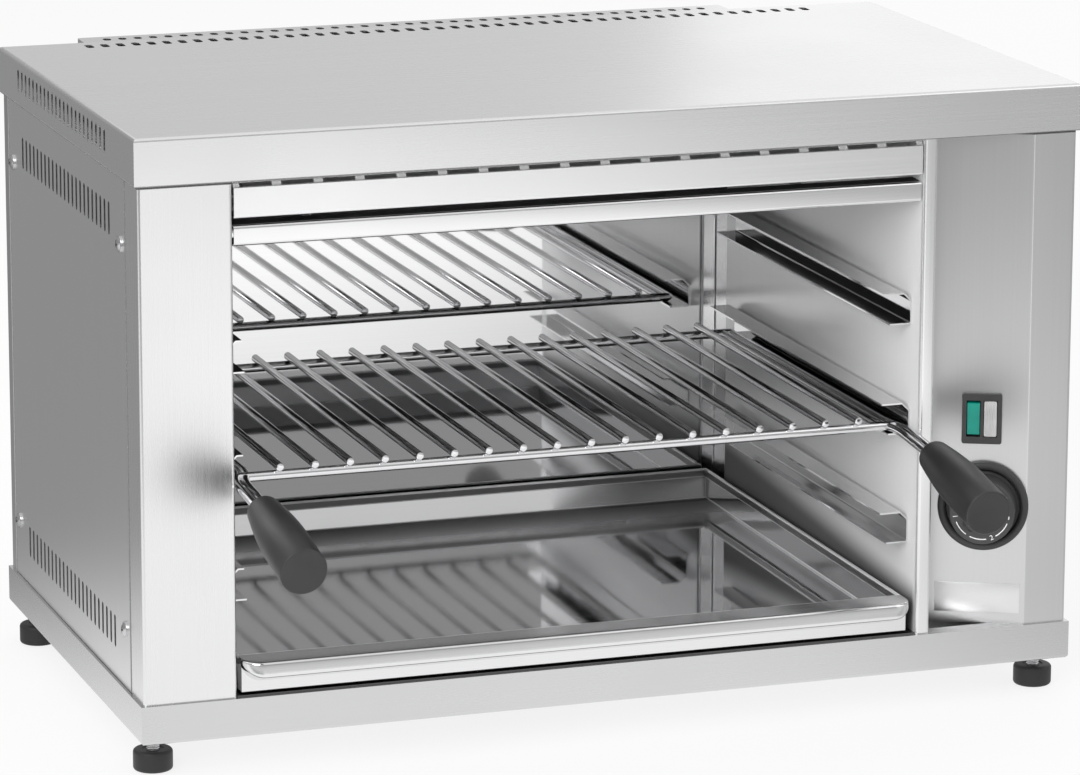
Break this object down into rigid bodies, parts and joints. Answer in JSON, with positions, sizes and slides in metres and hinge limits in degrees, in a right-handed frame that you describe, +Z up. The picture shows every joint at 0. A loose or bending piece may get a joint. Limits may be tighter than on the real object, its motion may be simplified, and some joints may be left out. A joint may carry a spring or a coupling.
{
  "type": "cheese melter",
  "caption": "Counter-top cheese melter: a folded steel case round an open grilling cavity, with a sliding wire rack, drip tray, runners and a slanted control panel.",
  "frame": {"origin": "middle of the underside of the box round the whole part with the rack and the tray pushed in", "axes": "+Z up from the feet, +X along the width towards the control panel, the cavity and the grips face -Y"},
  "size_m": [0.6018, 0.4839, 0.388],
  "materials": {
    "lid_steel": "satin brushed sheet",
    "base_steel": "satin brushed sheet",
    "front_steel": "bright brushed sheet, polished inside the cavity",
    "post_steel": "bright brushed sheet, polished inside the cavity",
    "panel_steel": "satin brushed sheet",
    "back_steel": "satin sheet, polished inside the cavity",
    "side_steel": "satin brushed sheet",
    "screw_steel": "turned steel",
    "stud_steel": "zinc-plated thread",
    "cavity_steel": "polished sheet",
    "rail_steel": "bright brushed sheet",
    "runner_steel": "bright folded sheet",
    "element_sheath": "heat-darkened tube",
    "rack_chrome": "bright plated wire",
    "tray_steel": "polished sheet",
    "grip_black": "moulded black thermoset",
    "switch_black": "moulded black frame",
    "rocker_green": "translucent green rocker",
    "lens_clear": "clear lens over a grey reflector",
    "dial_black": "fine-textured black ring",
    "knob_black": "dark moulded knob",
    "regulator_beige": "moulded housing",
    "terminal_white": "moulded block",
    "gland_black": "moulded nylon",
    "foot_rubber": "black rubber"
  },
  "bodies": {
    "case": {"lid": "lid_steel", "base_pan": "base_steel", "left_column": "front_steel", "right_post": "post_steel", "control_panel": "panel_steel", "back_panel": "back_steel", "left_side_panel": "side_steel", "right_side_panel": "side_steel", "left_side_screws": "screw_steel", "right_side_screws": "screw_steel", "rear_vent_box": "back_steel", "rear_box_screws": "screw_steel", "cavity_floor": "cavity_steel", "reflector": "cavity_steel", "upper_front_rail": "rail_steel", "lower_front_rail": "rail_steel", "runner_left_low": "runner_steel", "runner_left_mid": "runner_steel", "runner_left_top": "runner_steel", "runner_right_low": "runner_steel", "runner_right_mid": "runner_steel", "runner_right_top": "runner_steel", "heating_elements": "element_sheath", "element_hangers": "cavity_steel", "element_bushings": "screw_steel", "switch_frame": "switch_black", "pilot_lens": "lens_clear", "dial_ring": "dial_black", "regulator_body": "regulator_beige", "terminal_block": "terminal_white", "cable_gland": "gland_black", "gland_nut": "gland_black", "foot_nuts": "screw_steel", "foot_front_left": "foot_rubber", "foot_front_right": "foot_rubber", "foot_back_left": "foot_rubber", "foot_back_right": "foot_rubber", "stud_front_left": "stud_steel", "stud_front_right": "stud_steel", "stud_back_left": "stud_steel", "stud_back_right": "stud_steel"},
    "rack": {"rack_frame": "rack_chrome", "rack_rods": "rack_chrome", "left_grip": "grip_black", "right_grip": "grip_black"},
    "tray": {"drip_tray": "tray_steel"},
    "knob": {"knob": "knob_black", "regulator_shaft": "screw_steel"},
    "rocker": {"power_rocker": "rocker_green"}
  },
  "joints": [
    {"name": "rack_slide", "type": "slide", "parent": "case", "child": "rack", "axis": [0, -1, 0], "range_m": [0, 0.2]},
    {"name": "tray_slide", "type": "slide", "parent": "case", "child": "tray", "axis": [0, -1, 0], "range_m": [0, 0.24]},
    {"name": "knob_turn", "type": "hinge", "parent": "case", "child": "knob", "pos_m": [0.24563, -0.10631, 0.1222], "axis": [-0.4305, -0.9026, 0], "range_deg": [-280, 0]},
    {"name": "rocker_tilt", "type": "hinge", "parent": "case", "child": "rocker", "pos_m": [0.23927, -0.10328, 0.1778], "axis": [0.9026, -0.4305, 0], "range_deg": [-12, 0]}
  ]
}
